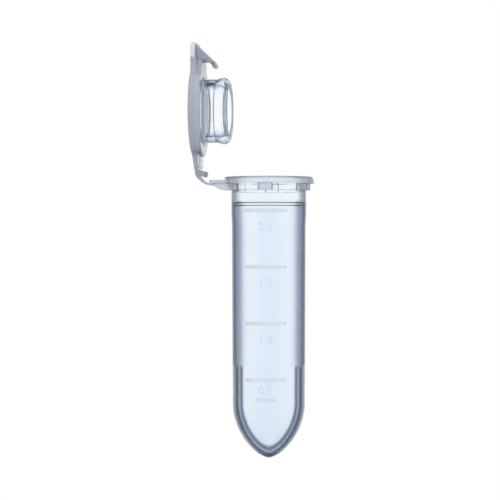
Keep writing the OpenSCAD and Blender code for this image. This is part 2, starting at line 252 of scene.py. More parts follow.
def lathe(profile: Array, columns: int, ends: Ends,
          marks: Array | None = None) -> Shell:
    """Turns a profile of (radius, height) about Z."""
    angle = np.linspace(0.0, 2 * np.pi, columns, endpoint=False)
    return grid_shell(polar(profile[:, :1], angle, profile[:, 1:]), ends, marks)


def outward(outline: Array) -> Array:
    """Unit normals of a closed outline, each square to the line between its neighbours."""
    way = np.roll(outline, -1, 0) - np.roll(outline, 1, 0)
    normal = unit(np.stack([way[:, 1], -way[:, 0]], -1))
    x, y = outline.T
    area = np.sum(x * np.roll(y, -1) - y * np.roll(x, -1))
    return normal if area > 0 else -normal


def slab(outline: Array, low: float, high: float, edges: tuple[float, float],
         steps: int = 3, share: Array | float = 1.0) -> Shell:
    """Raises a closed outline to a slab with quarter-round edges.

    At angle p from 0 to 90 degrees round an edge of radius e, the outline is drawn in by
    e (1 - sin p), times the share at each of its points, and lies e (1 - cos p) from the
    face.

    Args:
        outline: Closed outline, as an array of (u, v).
        low: Height of the lower face.
        high: Height of the upper face.
        edges: Radii of the lower and the upper round.
        steps: Parts of each quarter round.
        share: How much of the round each point of the outline has, from 0 to 1.

    Returns:
        Closed shell with the outline in X and Y, and the height in Z.
    """
    p = np.linspace(0.0, np.pi / 2, steps + 1)
    p, radius = np.concatenate([p, p[::-1]]), np.repeat(edges, steps + 1)
    inset, rise = radius * (1 - np.sin(p)), radius * (1 - np.cos(p))
    level = np.where(np.arange(len(p)) <= steps, low + rise, high - rise)
    rings = outline[None] - inset[:, None, None] * (share * outward(outline))[None]
    return grid_shell(stacked(rings, level), Ends.CAP)


# Quarter turn about X, which stands a slab's height along Y.
ACROSS = np.array([[1.0, 0.0, 0.0], [0.0, 0.0, -1.0], [0.0, 1.0, 0.0]])


def across(points: Corners, middle: float, width: float, edge: float) -> Shell:
    """A slab with filleted corners in X and Z, whose width runs along Y about middle."""
    flat = slab(filleted(points, closed=True), -width / 2, width / 2, (edge, edge))
    return flat.moved(ACROSS, np.array([0.0, middle, 0.0])).facing()


class Hinge:
    """The hinge axis, and the move from the closed lid to the open one."""

    def __init__(self) -> None:
        """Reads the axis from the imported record."""
        joint = frame["record"]["behaviour"]["joints"][0]
        place = joint.get("pos_m", joint.get("pos"))
        self.x, self.z = place[0] / MM, place[2] / MM

    def opened(self, shell: Shell) -> Shell:
        """Turns a shell drawn on the closed lid a quarter turn about the hinge.

        A point at (X, Y, Z) goes to (x - (Z - z), Y, z + (X - x)), where (x, z) is the axis.
        """
        turn = np.array([[0.0, 0.0, -1.0], [0.0, 1.0, 0.0], [1.0, 0.0, 0.0]])
        shift = np.array([self.x + self.z, 0.0, self.z - self.x])
        return shell.moved(turn, shift).facing()


class Nodes:
    """The node tree of a material or a world, with short calls to add and link nodes."""

    def __init__(self, owner: Material | bpy.types.World) -> None:
        """Turns the owner's nodes on and keeps them at hand."""
        owner.use_nodes = True
        self.owner = owner
        self.tree = owner.node_tree

    def add(self, kind: str, **settings: object) -> bpy.types.Node:
        """Adds a node, and sets its properties and then its inputs by name."""
        node = self.tree.nodes.new(f"ShaderNode{kind}")
        for name, value in settings.items():
            if hasattr(node, name):
                setattr(node, name, value)
            else:
                node.inputs[name.replace("_", " ").title()].default_value = value
        return node

    def link(self, source: Socket, target: Socket) -> None:
        """Joins two sockets."""
        self.tree.links.new(source, target)

    def coordinates(self, kind: str = "Object") -> Socket:
        """The coordinates of that kind."""
        return self.add("TexCoord").outputs[kind]

    def height(self, kind: str = "Object") -> Socket:
        """The third coordinate of that kind."""
        split = self.add("SeparateXYZ")
        self.link(self.coordinates(kind), split.inputs["Vector"])
        return split.outputs["Z"]

    def noise(self, size: float, detail: float = 3.0, stretch: float = 1.0) -> Socket:
        """Noise on Object coordinates, with features of a size in mm, drawn out along Z."""
        mapping = self.add("Mapping")
        mapping.inputs["Scale"].default_value = (1.0, 1.0, 1.0 / stretch)
        noise = self.add("TexNoise")
        noise.inputs["Scale"].default_value = 1.0 / (size * MM)
        noise.inputs["Detail"].default_value = detail
        self.link(self.coordinates(), mapping.inputs["Vector"])
        self.link(mapping.outputs["Vector"], noise.inputs["Vector"])
        return noise.outputs["Fac"]

    def span(self, source: Socket, low: float, high: float, start: float = 0.3,
             end: float = 0.7) -> Socket:
        """Maps a value from start..end to low..high."""
        node = self.add("MapRange", from_min=start, from_max=end, to_min=low, to_max=high)
        self.link(source, node.inputs["Value"])
        return node.outputs["Result"]

    def ramp(self, source: Socket, stops: Stops) -> Socket:
        """Colour ramp with a display colour at each stop."""
        node = self.add("ValToRGB")
        elements = node.color_ramp.elements
        while len(elements) < len(stops):
            elements.new(0.5)
        for element, (place, colour) in zip(elements, stops):
            element.position = place
            element.color = linear(colour)
        self.link(source, node.inputs["Fac"])
        return node.outputs["Color"]

    def mix(self, factor: Socket | float, a: Socket, b: Socket, blend: str = "MIX") -> Socket:
        """Mixes two colours by a factor."""
        node = self.add("Mix", data_type="RGBA", blend_type=blend)
        colours = [socket for socket in node.inputs if socket.type == "RGBA"]
        if isinstance(factor, float):
            node.inputs[0].default_value = factor
        else:
            self.link(factor, node.inputs[0])
        for source, socket in zip((a, b), colours):
            self.link(source, socket)
        return next(socket for socket in node.outputs if socket.type == "RGBA")

    def maths(self, operation: str, *values: float | Socket) -> Socket:
        """A Math node on one or two values, each a number or a socket."""
        node = self.add("Math", operation=operation)
        for socket, value in zip(node.inputs, values):
            if isinstance(value, float):
                socket.default_value = value
            else:
                self.link(value, socket)
        return node.outputs["Value"]

    def square_view(self) -> Socket:
        """Layer Weight's facing value: 0 where a surface is seen squarely, 1 edge-on."""
        return self.add("LayerWeight", blend=0.5).outputs["Facing"]

    def upright_view(self) -> Socket:
        """The facing value that an upright wall would have if it were seen level.

        With f the facing value and v that of a level surface, a level view has
        1 - (1 - f) / sqrt(1 - (1 - v)^2), so looking down does not deepen the painted edge shade.
        """
        flat = self.add("LayerWeight", blend=0.5)
        self.link(self.add("CombineXYZ", z=1.0).outputs["Vector"], flat.inputs["Normal"])
        fall = self.maths("SUBTRACT", 1.0, flat.outputs["Facing"])
        level = self.maths("SUBTRACT", 1.0, self.maths("MULTIPLY", fall, fall))
        level = self.maths("SQRT", self.maths("MAXIMUM", level, LOWEST_SHARE))
        square = self.maths("SUBTRACT", 1.0, self.square_view())
        share = self.maths("DIVIDE", square, level)
        return self.maths("SUBTRACT", 1.0, self.maths("MINIMUM", share, 1.0))


@dataclass(frozen=True)
class Plastic:
    """A moulded polypropylene finish with painted edge shade: darker where it is seen edge-on.

    Attributes:
        name: Name of the material.
        stops: Colour at each facing value, which paints the edge shade and, in some finishes, a
            highlight band.
        rough: Lowest and highest roughness.
        cloud: How much the colour varies at random, from 0 to 1.
        cloud_size: Size of that variation, in mm.
        grain: Height of the fine surface grain, in mm.
        grain_size: Size of the grain, in mm.
        transmission: Share of light that passes through.
        low_stops: Colour at each facing value below change_z, a second painted edge shade.
        change_z: Height of that change, in mm.
        change_half: Half of the height that the change takes, in mm.
        gloss: Tint of its reflections, as a display colour.
        upright: Whether its painted edge shade ignores the height that it is seen from.
        painted_glow: Strength of a painted glow, for light through the plastic behind it.
    """

    name: str
    stops: Stops
    cloud_size: float
    grain_size: float
    rough: tuple[float, float] = (0.02, 0.05)
    cloud: float = 0.02
    grain: float = 0.0008
    transmission: float = 1.0
    low_stops: Stops | None = None
    change_z: float = 0.0
    change_half: float = 0.25
    gloss: int = WHITE
    upright: bool = False
    painted_glow: float = 0.0

    def build(self) -> Material:
        """Makes the material.

        Returns:
            A Principled glass-like material whose colour, roughness and bump vary; its colour
            carries painted edge shade by viewing angle.
        """
        nodes = Nodes(bpy.data.materials.new(self.name))
        facing = nodes.upright_view() if self.upright else nodes.square_view()
        # Painted edge shade: the colour follows a ramp on how edge-on the surface is seen.
        edge_shaded_colour = nodes.ramp(facing, self.stops)
        if self.low_stops is not None:
            step = nodes.span(nodes.height(), 1.0, 0.0, (self.change_z - self.change_half) * MM,
                              (self.change_z + self.change_half) * MM)
            edge_shaded_colour = nodes.mix(step, edge_shaded_colour, nodes.ramp(facing, self.low_stops))
        shade = nodes.span(nodes.noise(self.cloud_size, 2.0, 3.0), 1.0 - self.cloud, 1.0)
        grey = nodes.add("CombineColor")
        for socket in grey.inputs:
            nodes.link(shade, socket)
        edge_shaded_colour = nodes.mix(1.0, edge_shaded_colour, grey.outputs["Color"], "MULTIPLY")
        shader = nodes.tree.nodes["Principled BSDF"]
        nodes.link(edge_shaded_colour, shader.inputs["Base Color"])
        nodes.link(nodes.span(nodes.noise(self.cloud_size * 0.7), *self.rough),
                   shader.inputs["Roughness"])
        # Emission Strength is the painted glow, in the colour of the first stop.
        for socket, value in {"Transmission Weight": self.transmission,
                              "IOR": REFRACTIVE_INDEX, "Emission Strength": self.painted_glow,
                              "Emission Color": linear(self.stops[0][1]),
                              "Specular Tint": linear(self.gloss)}.items():
            shader.inputs[socket].default_value = value
        bump = nodes.add("Bump", strength=1.0, distance=self.grain * MM)
        nodes.link(nodes.noise(self.grain_size, 4.0), bump.inputs["Height"])
        nodes.link(bump.outputs["Normal"], shader.inputs["Normal"])
        return nodes.owner


def drawn(name: str, shell: Shell, finishes: list[Material]) -> bpy.types.Object:
    """Puts a shell in the scene as an object in metres, with its finishes."""
    mesh = bpy.data.meshes.new(name)
    mesh.from_pydata((shell.points * MM).tolist(), [], shell.faces)
    for material in finishes:
        mesh.materials.append(material)
    obj = bpy.data.objects.new(name, mesh)
    bpy.context.scene.collection.objects.link(obj)
    return obj


def piece(name: str, shell: Shell, finishes: list[Material], body: Body | None,
          replaces: tuple[str, ...], sharp: float = SHARP) -> bpy.types.Object:
    """Makes a shell into an object, dresses it and fixes it to its body.

    Args:
        name: Name of the piece.
        shell: Its surface in millimetres.
        finishes: Materials, numbered as the shell's marks.
        body: The body it rides on, or None to leave it on neither body.
        replaces: CAD nodes that it stands for.
        sharp: Angle in degrees above which an edge is shaded sharp.

    Returns:
        The finished object, with its place in its mesh.
    """
    obj = drawn(name, shell, finishes)
    mesh = obj.data
    mesh.polygons.foreach_set("material_index", np.array(shell.marks, np.int32))
    mesh.shade_smooth()
    mesh.set_sharp_from_angle(angle=math.radians(sharp))
    mesh.update()
    if body is not None:
        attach(obj, body.value)
    if replaces:
        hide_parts(*replaces)
    LOG.info("%s: %d faces, %.2f mm3", name, len(shell.faces), shell.volume())
    return obj


# Every finish below paints edge shade into its colour by how edge-on it is seen: the dark ramps
# stand in for the dark edges that refraction and reflection give, such as the clear wall's dark
# sides.
CLEAR_WALL = Plastic(
    name="clear wall",
    stops=((0.0, 0xE3EFFC), (0.06, 0xEBF5FD), (0.15, 0xECF4FD), (0.20, 0xE6EEFA),
           (0.245, 0xD6E0F1), (0.295, 0xB4BDD3), (0.345, 0x8792A4), (0.41, 0x6E7B90),
           (0.49, 0x485369), (0.60, 0x0E142A), (0.74, 0x060A1C), (0.90, 0x1A202E),
           (1.0, 0x9699A0)),
    # Below change_z a second ramp paints a different edge shade, with its own dark bands.
    low_stops=((0.0, 0xE2EEFB), (0.06, 0xEAF4FC), (0.16, 0xECF4FB), (0.22, 0xEAF1F9),
               (0.275, 0xDEE7F2), (0.305, 0x626E82), (0.35, 0x242E44), (0.41, 0x6C798E),
               (0.485, 0x0A0F22), (0.60, 0x1A2034), (0.78, 0x626670), (1.0, 0xC8C9C8)),
    change_z=-25.1, cloud_size=2.4, grain_size=0.5, gloss=0x6C7485, upright=True)

NECK_WALL = Plastic(
    name="neck wall",
    stops=((0.0, 0xEEF8FD), (0.15, 0xF2FAFE), (0.33, 0xEEF7FE), (0.42, 0xBBC3D1), (0.55, 0x5F6677),
           (0.72, 0x242A3A), (0.9, 0x5F646B), (1.0, 0xD3D2D0)),
    cloud_size=2.0, grain_size=0.5, gloss=0x6C7485, upright=True)

INNER_WALL = Plastic(
    name="inner wall",
    stops=((0.0, 0xFEFFFF), (0.42, 0xFDFEFF), (0.60, 0xF0F4FA), (0.78, 0xD0D7E3), (1.0, 0xBCC4D3)),
    rough=(0.04, 0.08), cloud_size=1.8, grain_size=0.4, gloss=0x969EAF, upright=True)

FROSTED_RIM = Plastic(
    name="frosted rim",
    stops=((0.0, 0xE4EAF5), (0.25, 0xDCE2EE), (0.5, 0xCBD0DD), (0.8, 0xBABECC), (1.0, 0xB8BCC9)),
    rough=(0.26, 0.38), cloud=0.04, cloud_size=1.2, grain=0.002, grain_size=0.15, transmission=0.5)

# Painted dark line: the crest band along the rim's outer top edge takes this darker grey.
RIM_CREST = Plastic(
    name="rim crest",
    stops=((0.0, 0xACB2C2), (0.5, 0x969CAC), (1.0, 0x848A9A)),
    rough=(0.2, 0.3), cloud=0.05, cloud_size=1.5, grain=0.001, grain_size=0.15, transmission=0.3)

RIB_PLASTIC = Plastic(
    name="rib plastic",
    stops=((0.0, 0xF6F9FD), (0.04, 0xEEF2F9), (0.10, 0xDADFEB), (0.19, 0xBEC3D0), (0.42, 0xBABECB),
           (0.6, 0xD0D5E1), (0.8, 0xB0B5C3), (1.0, 0xA6ABB9)),
    rough=(0.12, 0.2), cloud=0.05, cloud_size=0.8, grain=0.001, grain_size=0.15, transmission=0.5)

CLEAR_RIB = Plastic(
    name="clear rib",
    stops=((0.0, 0xFDFFFF), (0.6, 0xFAFCFE), (0.8, 0xD8DDE8), (1.0, 0xAAB0BE)),
    cloud=0.03, cloud_size=0.8, grain=0.0005, grain_size=0.2)

# Painted edge shade darkening up to facing 0.7, then a painted highlight from 0.84 to 1.0 along
# the hinge's edges.
HINGE_PLASTIC = Plastic(
    name="hinge plastic",
    stops=((0.0, 0xBCC2D1), (0.3, 0xB0B6C6), (0.7, 0xA4AABB), (0.84, 0xC0C7D4), (0.92, 0xF2F5FA),
           (1.0, 0xE6EAF2)),
    rough=(0.16, 0.26), cloud=0.05, cloud_size=0.9, grain=0.0015, grain_size=0.14,
    transmission=0.5)

# The leaf takes a lighter copy of the hinge plastic: painted light on the leaf.
LEAF_PLASTIC = replace(
    HINGE_PLASTIC, name="leaf plastic",
    stops=((0.0, 0xE2E7F2), (0.3, 0xDEE3EE), (0.7, 0xD6DCE8), (1.0, 0xDAE0EB)),
    transmission=0.4)

GUSSET_PLASTIC = Plastic(
    name="gusset plastic",
    stops=((0.0, 0xF4F9FE), (0.5, 0xEEF4FB), (1.0, 0xE2E8F2)),
    rough=(0.1, 0.18), cloud=0.05, cloud_size=0.9, grain=0.001, grain_size=0.14, transmission=0.5)

# Painted edge shade up to facing 0.78, then a painted highlight from 0.9 along the plate's edges.
FROSTED_PLATE = Plastic(
    name="frosted plate",
    stops=((0.0, 0xB7BCC8), (0.4, 0xAAAEBA), (0.78, 0xA5A8B4), (0.9, 0xE2E6F0), (1.0, 0xDEE2EC)),
    rough=(0.34, 0.46), cloud=0.04, cloud_size=1.0, grain=0.003, grain_size=0.12,
    transmission=0.22)

# The dark stop at facing 0.7 is painted edge shade, and the light stops from 0.84 a painted
# highlight along the collar's edges.
COLLAR_PLASTIC = Plastic(
    name="collar plastic",
    stops=((0.0, 0xE8EEF8), (0.3, 0xE0E6F3), (0.7, 0xC8CFDD), (0.84, 0xE0E6F3), (0.92, 0xF0F4FC),
           (1.0, 0xECF0F9)),
    rough=(0.1, 0.16), cloud=0.06, cloud_size=1.0, grain=0.0015, grain_size=0.2, transmission=0.6)

# Painted glow: an emission of 0.1 stands in for the light that the translucent collar lets through
# to its bore and to the plug inside it.
COLLAR_BORE = Plastic(
    name="collar bore",
    stops=((0.0, 0xF0F3FA), (0.6, 0xF4F8FF), (1.0, 0xF0F4FA)),
    rough=(0.3, 0.4), cloud=0.03, cloud_size=1.2, grain=0.001, grain_size=0.2, transmission=0.15,
    painted_glow=0.1)

# Strong painted edge shade: the stops fall to near black edge-on, darkening the plug's top and
# bottom edges and the rails.
PLUG_PLASTIC = Plastic(
    name="plug plastic",
    stops=((0.0, 0xFCFFFF), (0.2, 0xFBFEFF), (0.36, 0xF2F7FE), (0.5, 0xD4DBE9), (0.62, 0x969EB2),
           (0.78, 0x4E5568), (0.9, 0x282E3E), (1.0, 0x282E3C)),
    cloud_size=1.4, grain=0.0003, grain_size=0.4, gloss=0x4C5260)

# The plug's tip takes a lighter copy of the plug's painted edge shade.
PLUG_TIP = Plastic(
    name="plug tip",
    stops=((0.0, 0xFCFFFF), (0.5, 0xE8EEF7), (0.7, 0xCED5E4), (0.85, 0xB0B8C9), (1.0, 0x969DAE)),
    rough=(0.03, 0.06), cloud_size=1.4, grain=0.0003, grain_size=0.4, gloss=0x6E7584)

TAB_PLASTIC = Plastic(
    name="tab plastic",
    stops=((0.0, 0xEEF0FA), (0.3, 0xEAEDF7), (0.6, 0xD2D5E3), (0.85, 0xB4B7C7), (1.0, 0xAAAEBE)),
    rough=(0.28, 0.38), cloud=0.08, cloud_size=0.9, grain=0.0015, grain_size=0.25,
    transmission=0.22, gloss=0x9699A8)

# The wedge and hook take a darker copy of the tab plastic: painted shade under the tab.
WEDGE_PLASTIC = replace(
    TAB_PLASTIC, name="wedge plastic",
    stops=((0.0, 0xAAADBA), (0.3, 0xA6A9B6), (0.6, 0xA0A3B1), (0.85, 0xAAADBB), (1.0, 0xB0B3C0)),
    transmission=0.18, gloss=0x9699A7)

SCALE_PLASTIC = Plastic(
    name="raised scale",
    stops=((0.0, 0xFDFEFF), (0.4, 0xFAFCFE), (1.0, 0xF0F3F8)),
    rough=(0.3, 0.4), cloud=0.04, cloud_size=0.7, grain_size=0.1, transmission=0.92)


@dataclass
class TubeBody:
    """The tube: its wall, rim, ribs and raised scale. Sizes are in millimetres."""

    bore_r: float = 4.83
    bore_low: float = -1.0
    mouth_r: float = 5.05
    flare: float = 0.9
    seat: Corners = ((4.64, -2.17, 0.03), (4.64, -1.87, 0.04), (4.79, -1.77, 0.04))
    cavity_top: float = -2.26
    cavity_top_r: float = 4.5
    cavity_low_r: float = 4.4
    crest_h: float = 0.26
    lip_half_w: float = 3.0
    lip_fade: float = 0.25
    lip_drop: float = 0.12
    lip_run: float = 0.2
    rib_r: float = 6.05
    rib_w: float = 2.16
    rib_edge: float = 0.05
    rib_fall: float = 0.8
    rib_power: int = 6
    lip_rib_r: float = 5.98
    lip_rib_w: float = 1.6
    neck_finish_end: float = -1.75
    band_end: float = -3.4
    taper_end: float = -4.8
    barrel_r: float = 5.3
    bottom_wall: float = 1.12
    flat: float = 1.85
    point: float = 0.65
    line_w: float = 0.52
    line_rise: float = 0.02
    line_angle: float = 69.0
    short_angle: float = 30.0
    short_drop: float = 2.8
    top_line_drop: float = 0.55
    low_line_rise: float = 3.66
    numeral_h: float = 1.7
    numeral_rise: float = 0.003
    numerals: tuple[tuple[str, float], ...] = (("2.0", 2.35), ("1.5", 2.35), ("1.0", 2.35),
                                               ("0.5", 1.45))
    columns: int = 192

    def __post_init__(self) -> None:
        """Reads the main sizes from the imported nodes."""
        low, high = corners("tube_neck")
        self.root_r, self.rim_top = high[1], high[2]
        low, high = corners("rim_flange")
        self.flange_r, self.rib_h = high[1], low[2]
        low, high = corners("tube_barrel")
        self.neck_r, self.neck_end, self.barrel_end = high[1], high[2], low[2]
        low, high = corners("tube_bottom")
        self.low_r, self.tip = high[1], low[2]
        self.lip_r = corners("locking_lip")[1][0]

    def dome(self, radius: float, height: float, steps: int) -> Array:
        """Round bottom from its top to its tip: radius (1 - t^flat)^point, t from 0 to 1.

        Args:
            radius: Radius at the top.
            height: Height of the dome.
            steps: Number of parts, spaced as the sine of equal angles.

        Returns:
            Array of (radius, z).
        """
        t = np.sin(np.linspace(0.0, np.pi / 2, steps + 1))
        r = radius * np.maximum(0.0, 1 - t ** self.flat) ** self.point
        return np.stack([r, self.barrel_end - height * t], -1)

    def wall(self) -> Shell:
        """One closed wall from the inside of the tip, over the rim, to the outside of the tip.

        The rim's outer edge swells to the locking lip on the +X side: its radius grows by
        the lip's reach times a smooth window across Y, times the share of the lip's slope.

        Returns:
            Shell marked 0 outside, 1 inside, 2 on the rim, 3 round the neck, 4 on the crest,
            where a dark line is painted along the rim's outer top edge.
        """
        depth = self.barrel_end - self.tip
        mouth = (self.mouth_r, self.rim_top - 0.02, 0.0)
        root = (self.root_r, self.rib_h, 0.0)
        inner = self.dome(self.cavity_low_r, depth - self.bottom_wall, 40)[::-1]
        seat = filleted([
            (self.cavity_low_r, self.barrel_end, 0.0),
            (self.cavity_top_r, self.cavity_top, 0.04), *self.seat,
            (self.bore_r, self.bore_low, 0.03),
            (self.bore_r, self.rim_top - self.flare, 0.25), mouth])[1:]
        rim = filleted([
            mouth, (self.mouth_r + 0.03, self.rim_top, 0.03), (self.flange_r, self.rim_top, 0.14),
            (self.flange_r, self.rim_top - self.crest_h, 0.0), (self.flange_r, self.rib_h, 0.06),
            root])[1:]
        outer = filleted([
            root, (self.root_r, 0.0, 0.08), (self.neck_r, 0.0, 0.06),
            (self.neck_r, self.neck_finish_end, 0.0), (self.neck_r, self.band_end, 0.3),
            (self.barrel_r, self.taper_end, 0.3), (self.low_r, self.barrel_end, 0.0)])[1:]
        tip = self.dome(self.low_r, depth, 48)[1:]
        profile = np.vstack([inner, seat, rim, outer, tip])
        r, z = profile.T
        neck = int(np.sum(outer[:, 1] > self.neck_finish_end + 0.01))
        marks = np.repeat([1, 2, 3, 0], [len(inner) + len(seat) - 1, len(rim), neck + 1,
                                         len(outer) - neck - 1 + len(tip)])
        # Mark 4, the crest band, takes the painted dark line along the rim's outer top edge.
        crest = (z > self.rim_top - self.crest_h - 0.01) & (r > self.flange_r - 0.15)
        marks[crest[:-1] & crest[1:]] = 4
        angle = np.linspace(0.0, 2 * np.pi, self.columns, endpoint=False)
        side = np.abs(self.flange_r * np.sin(angle))
        window = np.clip((self.lip_half_w - side) / self.lip_fade, 0, 1) * (np.cos(angle) > 0)
        window = window * window * (3 - 2 * window)
        lip_top = self.rim_top - self.lip_drop
        share = np.clip((lip_top - z) / (lip_top - self.rib_h), 0, 1) * (z > self.rib_h - 0.01)
        share *= np.clip((r - self.flange_r + self.lip_run) / self.lip_run, 0, 1)
        r = r[:, None] + (self.lip_r - self.flange_r) * share[:, None] * window
        return grid_shell(polar(r, angle, z[:, None]), Ends.POLE, marks)

    def block(self, outer_r: float, width: float, mark: int = 0) -> Shell:
        """A rib at angle 0 between the neck root and a radius.

        Its plan runs along an arc of the root and back along an arc of the outer radius,
        whose ends fall away as 1 - sqrt(1 - s^rib_power) for s from -1 to 1 across the rib.

        Args:
            outer_r: Radius of the rib's outer face.
            width: Width of the rib.
            mark: Material number of its faces.

        Returns:
            Closed rib from the flange's underside down to height 0.
        """
        y = width / 2 * np.sin(np.linspace(-np.pi / 2, np.pi / 2, 17))
        inner_x = np.sqrt((self.root_r + GAP) ** 2 - y ** 2)
        fall = 1 - np.sqrt(np.clip(1 - (2 * y / width) ** self.rib_power, 0, 1))
        outer_x = np.sqrt(outer_r ** 2 - y ** 2)
        outer_x -= (outer_x - inner_x) * self.rib_fall * fall
        plan = np.vstack([np.stack([outer_x, y], -1), np.stack([inner_x, y], -1)[::-1]])
        shell = slab(plan, 0.0, self.rib_h - GAP, (self.rib_edge, self.rib_edge))
        return Shell(shell.points, shell.faces, [mark] * len(shell.faces))

    def around(self, shell: Shell, degrees: float) -> Shell:
        """Turns a shell about the tube's axis."""
        c, s = math.cos(math.radians(degrees)), math.sin(math.radians(degrees))
        return shell.moved(np.array([[c, -s, 0.0], [s, c, 0.0], [0.0, 0.0, 1.0]]), np.zeros(3))

    def outside_r(self, z: Array) -> Array:
        """Radius of the barrel's outside at height z, along its taper and its draft."""
        return np.interp(z, [self.barrel_end, self.taper_end, self.band_end, 0.0],
                         [self.low_r, self.barrel_r, self.neck_r, self.neck_r])

    def scale_line(self, z: float, degrees: float) -> Shell:
        """A raised line on the -Y side: a ridge of height cos^2 carried along an arc.

        Args:
            z: Height of the line.
            degrees: Angle that it covers.

        Returns:
            Closed ridge, which tapers over its last two steps.
        """
        u, steps = np.linspace(0.5, -0.5, 13), 49
        ridge = GAP + self.line_rise * np.cos(np.pi * u) ** 2
        half = self.line_w / 2
        section = np.vstack([np.stack([u * self.line_w, ridge], -1), [[-half, 0.0], [half, 0.0]]])
        angle = np.radians(np.linspace(-90 - degrees / 2, -90 + degrees / 2, steps))
        step = np.minimum(np.arange(steps), np.arange(steps)[::-1])
        end = np.minimum(1.0, step / 2.0 + 0.3)[:, None]
        level = z + section[None, :, 0] * end
        r = self.outside_r(level) + GAP + section[None, :, 1] * end
        return grid_shell(polar(r, angle[:, None], level), Ends.CAP)

    def numeral(self, text: str, z: float) -> Shell:
        """Raised generic numerals wrapped on the -Y side, centred at height z.

        A letter point at (x, y) goes to angle x / r on the wall and height z + y.

        Args:
            text: The number.
            z: Height of the middle of the numerals.

        Returns:
            Closed raised letters.
        """
        curve = bpy.data.curves.new("numeral", "FONT")
        curve.body, curve.size = text, self.numeral_h
        curve.align_x, curve.align_y = "CENTER", "CENTER"
        curve.extrude, curve.resolution_u = 0.5, 3
        holder = bpy.data.objects.new("numeral", curve)
        mesh = holder.to_mesh()
        flat = np.array([list(vertex.co) for vertex in mesh.vertices])
        faces = [list(face.vertices) for face in mesh.polygons]
        holder.to_mesh_clear()
        bpy.data.objects.remove(holder)
        bpy.data.curves.remove(curve)
        _, first, new = np.unique(np.round(flat, 4), axis=0, return_index=True,
                                  return_inverse=True)
        faces = [new.reshape(-1)[face].tolist() for face in faces]
        flat = flat[first]
        level = z + flat[:, 1]
        r = self.outside_r(level) + GAP + self.numeral_rise * (flat[:, 2] > 0)
        points = polar(r, -np.pi / 2 + flat[:, 0] / self.low_r, level)
        return Shell(points, faces, [0] * len(faces)).facing()

    def build(self) -> None:
        """Makes and dresses every piece of the tube."""
        wall = [finish.build() for finish in (CLEAR_WALL, INNER_WALL, FROSTED_RIM, NECK_WALL,
                                              RIM_CREST)]
        piece("tube_wall", self.wall(), wall, Body.TUBE,
              ("tube_neck", "seat_ring", "tube_barrel", "tube_bottom", "rim_flange",
               "locking_lip"), TURNED_SHARP)
        rib = [RIB_PLASTIC.build(), CLEAR_RIB.build()]
        # The three -Y ribs take the darker rib plastic and the three +Y ribs the lighter clear
        # rib: one moulding in two copies, painted shade on the -Y ribs.
        ribs = [self.around(self.block(self.rib_r, self.rib_w, mark), side * turn)
                for side, mark in ((-1, 0), (1, 1)) for turn in (30, 90, 150)]
        piece("support_rib_set", joined(ribs), rib, Body.TUBE, ("support_ribs",))
        piece("rib_under_lip", self.block(self.lip_rib_r, self.lip_rib_w), rib, Body.TUBE,
              ("lip_rib",))
        scale = [SCALE_PLASTIC.build()]
        heights = np.linspace(self.neck_end - self.top_line_drop,
                              self.barrel_end + self.low_line_rise, len(self.numerals)).tolist()
        lines = [self.scale_line(z, self.line_angle) for z in heights]
        lines.append(self.scale_line(heights[-1] - self.short_drop, self.short_angle))
        piece("scale_lines", joined(lines), scale, Body.TUBE, ("graduation_lines",))
        words = [self.numeral(text, z - drop) for (text, drop), z in zip(self.numerals, heights)]
        piece("scale_numerals", joined(words), scale, Body.TUBE, (), 30.0)


